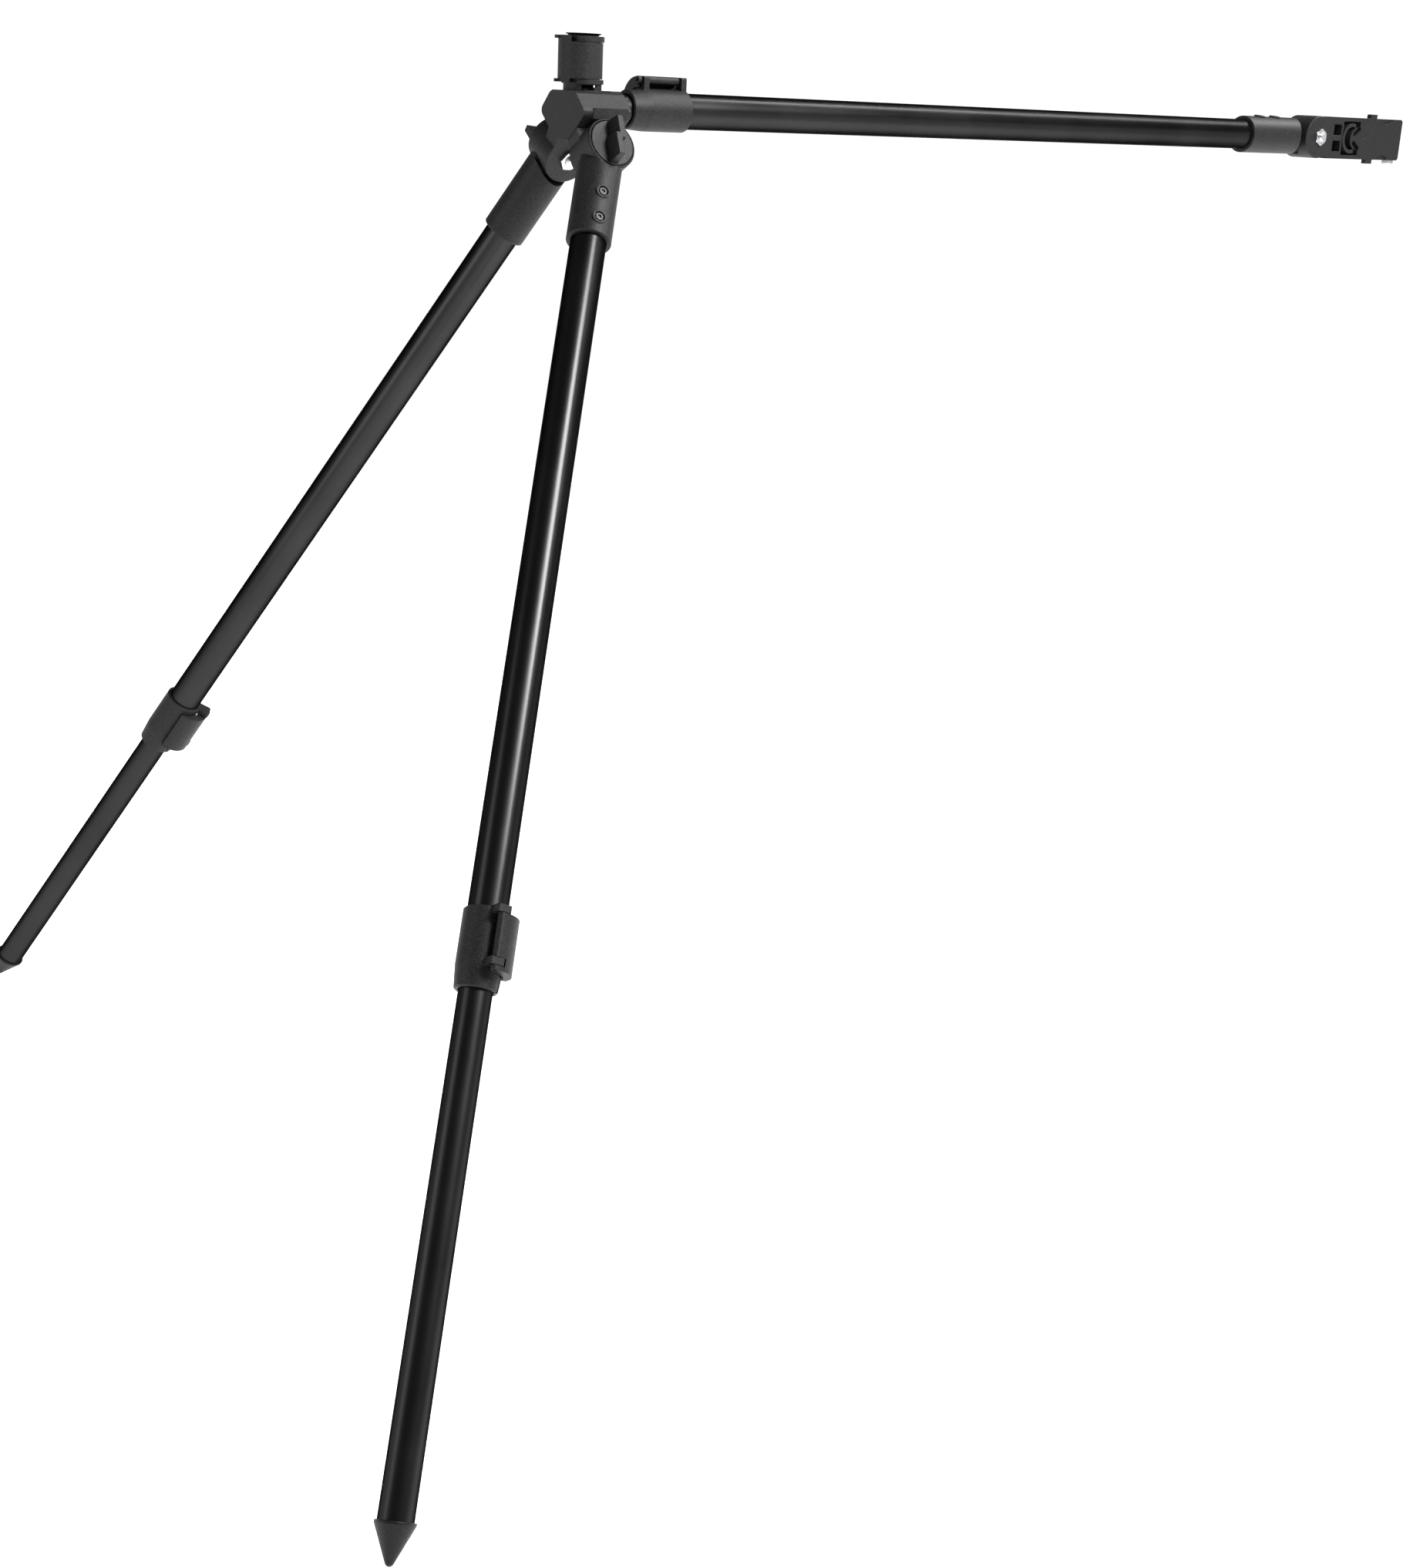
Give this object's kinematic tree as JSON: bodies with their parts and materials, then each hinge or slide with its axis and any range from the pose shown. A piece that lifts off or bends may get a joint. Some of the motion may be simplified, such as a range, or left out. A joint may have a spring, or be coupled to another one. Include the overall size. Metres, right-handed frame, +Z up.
{
  "type": "telescopic two-legged support with side arm",
  "caption": "Black telescopic support: two splayed pointed legs and a side arm on a central hub with a lever-clamped post socket, hand-knob hinges and an end clamp.",
  "frame": {"origin": "Centre of the socket's floor, on the socket axis, where the end of the post it clamps on rests.", "axes": "+Z up along the socket towards its mouth; +X along the side arm, away from the hub; -Y is the front leg's side and +Y the back leg's."},
  "size_m": [1.3019, 0.8937, 0.805],
  "materials": {
    "black_moulding": "fine-grained moulded",
    "knob_moulding": "fine-grained moulded",
    "clamp_moulding": "fine-grained moulded",
    "liner_plastic": "smooth moulded",
    "foot_plastic": "smooth moulded",
    "black_anodised_outer": "satin black anodised",
    "black_anodised_inner": "satin black anodised",
    "pin_steel": "turned",
    "zinc_steel": "bright zinc plated",
    "screw_steel": "black oxide"
  },
  "bodies": {
    "hub": {"hub_body": "black_moulding", "socket_liner": "liner_plastic", "socket_lever_pin": "pin_steel", "front_leg_nut": "zinc_steel", "back_leg_nut": "zinc_steel", "arm_inner_tube": "black_anodised_inner"},
    "socket_cam_lever": {"socket_lever": "black_moulding"},
    "front_leg": {"front_sleeve": "black_moulding", "front_screws": "screw_steel", "front_outer_tube": "black_anodised_outer", "front_collar": "black_moulding", "front_lever_pin": "pin_steel"},
    "front_cam_lever": {"front_lever": "black_moulding"},
    "front_lower": {"front_inner_tube": "black_anodised_inner", "front_foot": "foot_plastic"},
    "front_hand_knob": {"front_knob": "knob_moulding", "front_bolt": "zinc_steel"},
    "back_leg": {"back_sleeve": "black_moulding", "back_screws": "screw_steel", "back_outer_tube": "black_anodised_outer", "back_collar": "black_moulding", "back_lever_pin": "pin_steel"},
    "back_cam_lever": {"back_lever": "black_moulding"},
    "back_lower": {"back_inner_tube": "black_anodised_inner", "back_foot": "foot_plastic"},
    "back_hand_knob": {"back_knob": "knob_moulding", "back_bolt": "zinc_steel"},
    "arm_outer": {"arm_outer_tube": "black_anodised_outer", "arm_collar": "black_moulding", "arm_lever_pin": "pin_steel", "arm_sleeve": "black_moulding", "arm_screws": "screw_steel"},
    "arm_cam_lever": {"arm_lever": "black_moulding"},
    "arm_hand_knob": {"arm_knob": "knob_moulding", "arm_bolt": "zinc_steel"},
    "end_clamp": {"clamp_body": "black_moulding", "clamp_nut": "zinc_steel", "clamp_saddle": "clamp_moulding", "clamp_jaw": "clamp_moulding", "clamp_pin": "pin_steel"}
  },
  "joints": [
    {"name": "front_leg_swing", "type": "hinge", "parent": "hub", "child": "front_leg", "pos_m": [0, -0.0268, -0.042], "axis": [0, -0.866, 0.5], "range_deg": [-40, 90]},
    {"name": "front_leg_extend", "type": "slide", "parent": "front_leg", "child": "front_lower", "axis": [-0.4242, -0.4528, -0.7842], "range_m": [-0.29, 0.1]},
    {"name": "front_knob_turn", "type": "hinge", "parent": "front_leg", "child": "front_hand_knob", "pos_m": [0, -0.0268, -0.042], "axis": [0, -0.866, 0.5], "range_deg": [0, 540]},
    {"name": "front_lever_open", "type": "hinge", "parent": "front_leg", "child": "front_cam_lever", "pos_m": [-0.23267, -0.29364, -0.4634], "axis": [-0.4242, -0.4528, -0.7842], "range_deg": [0, 100]},
    {"name": "back_leg_swing", "type": "hinge", "parent": "hub", "child": "back_leg", "pos_m": [0, 0.0268, -0.042], "axis": [0, 0.866, 0.5], "range_deg": [-90, 40]},
    {"name": "back_leg_extend", "type": "slide", "parent": "back_leg", "child": "back_lower", "axis": [-0.3387, 0.4704, -0.8148], "range_m": [-0.26, 0.13]},
    {"name": "back_knob_turn", "type": "hinge", "parent": "back_leg", "child": "back_hand_knob", "pos_m": [0, 0.0268, -0.042], "axis": [0, 0.866, 0.5], "range_deg": [0, 540]},
    {"name": "back_lever_open", "type": "hinge", "parent": "back_leg", "child": "back_cam_lever", "pos_m": [-0.16968, 0.2797, -0.50044], "axis": [0.3387, -0.4704, 0.8148], "range_deg": [0, 100]},
    {"name": "arm_extend", "type": "slide", "parent": "hub", "child": "arm_outer", "axis": [1, 0, 0], "range_m": [-0.01, 0.38]},
    {"name": "arm_lever_open", "type": "hinge", "parent": "arm_outer", "child": "arm_cam_lever", "pos_m": [0.086, 0, 0.0074], "axis": [1, 0, 0], "range_deg": [0, 100]},
    {"name": "arm_knob_turn", "type": "hinge", "parent": "arm_outer", "child": "arm_hand_knob", "pos_m": [0.79, 0, -0.013], "axis": [0, 1, 0], "range_deg": [0, 540]},
    {"name": "end_clamp_tilt", "type": "hinge", "parent": "arm_outer", "child": "end_clamp", "pos_m": [0.79, 0, -0.013], "axis": [0, 1, 0], "range_deg": [-50, 50]},
    {"name": "socket_lever_open", "type": "hinge", "parent": "hub", "child": "socket_cam_lever", "pos_m": [0.01387, 0.00647, 0.007], "axis": [0, 0, 1], "range_deg": [0, 12]}
  ]
}
